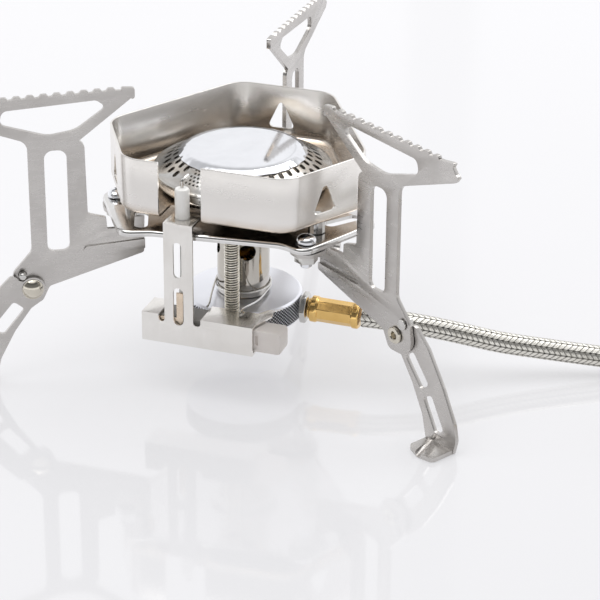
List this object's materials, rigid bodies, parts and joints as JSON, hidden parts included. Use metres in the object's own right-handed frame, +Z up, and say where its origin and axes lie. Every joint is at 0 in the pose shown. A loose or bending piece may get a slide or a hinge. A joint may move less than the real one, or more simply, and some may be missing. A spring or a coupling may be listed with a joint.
{
  "type": "canister stove",
  "caption": "Folding remote-canister camping stove: hexagonal windshield, toothed pan supports on jointed legs, push igniter and a braided hose with its valve.",
  "frame": {"origin": "on the floor, under the middle of the stove's bounding box, measured without the hose, its coil and its valve", "axes": "+Z up; +X towards the side the gas hose leaves; the igniter faces -Y and one leg points along +Y"},
  "size_m": [0.3409, 0.1886, 0.1044],
  "materials": {
    "steel": "brushed stainless steel sheet",
    "polished_steel": "polished stainless steel",
    "brass": "turned brass",
    "copper": "copper strip",
    "ceramic": "glazed white ceramic",
    "grey_plastic": "warm grey moulded plastic",
    "black_plastic": "black moulded plastic",
    "white_plastic": "white wire insulation",
    "rubber": "black seal rubber",
    "steel_braid": "woven stainless wire braid"
  },
  "bodies": {
    "stove": {"base_plate": "polished_steel", "burner_bowl": "steel", "burner_cap": "polished_steel", "burner_ring": "steel", "canister_collar": "brass", "ceramic_insulator": "ceramic", "coil_sleeve": "steel", "electrode_wire": "steel", "gas_hub": "polished_steel", "hose": "steel_braid", "hose_coil": "steel_braid", "hose_ferrule": "brass", "igniter_bracket": "steel", "ignition_lead": "white_plastic", "inlet_nut": "steel", "jet_nozzle": "brass", "mixing_tube": "steel", "piezo_body": "grey_plastic", "piezo_terminal": "copper", "pivot_nut_left": "steel", "pivot_nut_rear": "steel", "pivot_nut_right": "steel", "pivot_screw_left": "polished_steel", "pivot_screw_rear": "polished_steel", "pivot_screw_right": "polished_steel", "pivot_washer_left": "steel", "pivot_washer_rear": "steel", "pivot_washer_right": "steel", "retaining_wire": "steel", "shield_rivet_left": "steel", "shield_rivet_rear": "steel", "shield_rivet_right": "steel", "spacer_left": "steel", "spacer_rear": "steel", "spacer_right": "steel", "tube_collar": "steel", "valve_body": "steel", "valve_ferrule": "brass", "valve_seal": "rubber", "valve_spindle": "brass", "windshield": "steel"},
    "leg_rear": {"upper_leg_rear": "steel", "hinge_rivet_rear": "polished_steel", "detent_pin_rear": "steel"},
    "lower_leg_rear": {"lower_leg_rear": "steel"},
    "leg_left": {"upper_leg_left": "steel", "hinge_rivet_left": "polished_steel", "detent_pin_left": "steel"},
    "lower_leg_left": {"lower_leg_left": "steel"},
    "leg_right": {"upper_leg_right": "steel", "hinge_rivet_right": "polished_steel", "detent_pin_right": "steel"},
    "lower_leg_right": {"lower_leg_right": "steel"},
    "button": {"piezo_button": "grey_plastic"},
    "knob": {"valve_knob": "black_plastic", "valve_handle": "steel"}
  },
  "joints": [
    {"name": "fold_rear", "type": "hinge", "parent": "stove", "child": "leg_rear", "pos_m": [0.0068, 0.01983, 0.057], "axis": [0, 0, -1], "range_deg": [0, 95]},
    {"name": "fold_lower_rear", "type": "hinge", "parent": "leg_rear", "child": "lower_leg_rear", "pos_m": [-0.00645, 0.05123, 0.0343], "axis": [-1, 0, 0], "range_deg": [0, 120]},
    {"name": "fold_left", "type": "hinge", "parent": "stove", "child": "leg_left", "pos_m": [-0.04228, -0.03644, 0.057], "axis": [0, 0, -1], "range_deg": [0, 95]},
    {"name": "fold_lower_left", "type": "hinge", "parent": "leg_left", "child": "lower_leg_left", "pos_m": [-0.06285, -0.06361, 0.0343], "axis": [0.5, -0.866, 0], "range_deg": [0, 120]},
    {"name": "fold_right", "type": "hinge", "parent": "stove", "child": "leg_right", "pos_m": [0.03098, -0.05081, 0.057], "axis": [0, 0, -1], "range_deg": [0, 95]},
    {"name": "fold_lower_right", "type": "hinge", "parent": "leg_right", "child": "lower_leg_right", "pos_m": [0.0648, -0.05504, 0.0343], "axis": [0.5, 0.866, 0], "range_deg": [0, 120]},
    {"name": "press_button", "type": "slide", "parent": "stove", "child": "button", "axis": [-1, 0, 0], "range_m": [0, 0.0025], "stiffness_N_per_m": 1500},
    {"name": "turn_valve", "type": "hinge", "parent": "stove", "child": "knob", "pos_m": [0.23796, -0.08225, 0.0085], "axis": [0.3009, -0.9537, 0], "range_deg": [0, 360]}
  ]
}
